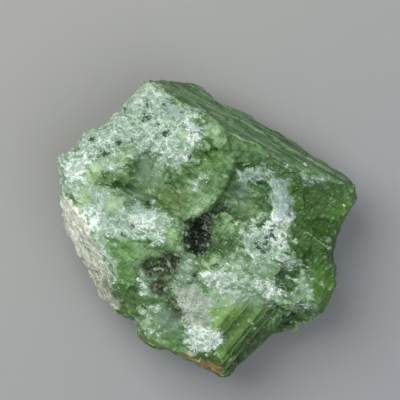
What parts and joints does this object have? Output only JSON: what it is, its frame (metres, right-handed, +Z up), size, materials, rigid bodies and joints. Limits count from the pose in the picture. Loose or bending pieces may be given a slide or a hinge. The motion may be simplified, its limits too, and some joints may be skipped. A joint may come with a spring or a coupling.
{
  "type": "rough diopside stone",
  "caption": "Palm-sized broken chunk of green diopside with a white granular crust, cleavage terraces, pits and a striated side, lying on its broad back.",
  "frame": {"origin": "middle of the stone's box, on the surface it rests on", "axes": "+Z up, out of the broken face; +Y towards the top of the face as pictured, and +X to its right"},
  "size_m": [0.0814, 0.0816, 0.0337],
  "materials": {
    "stone": "broken crystal, between glassy and frosted"
  },
  "bodies": {
    "root": {"diopside": "stone"}
  },
  "joints": []
}
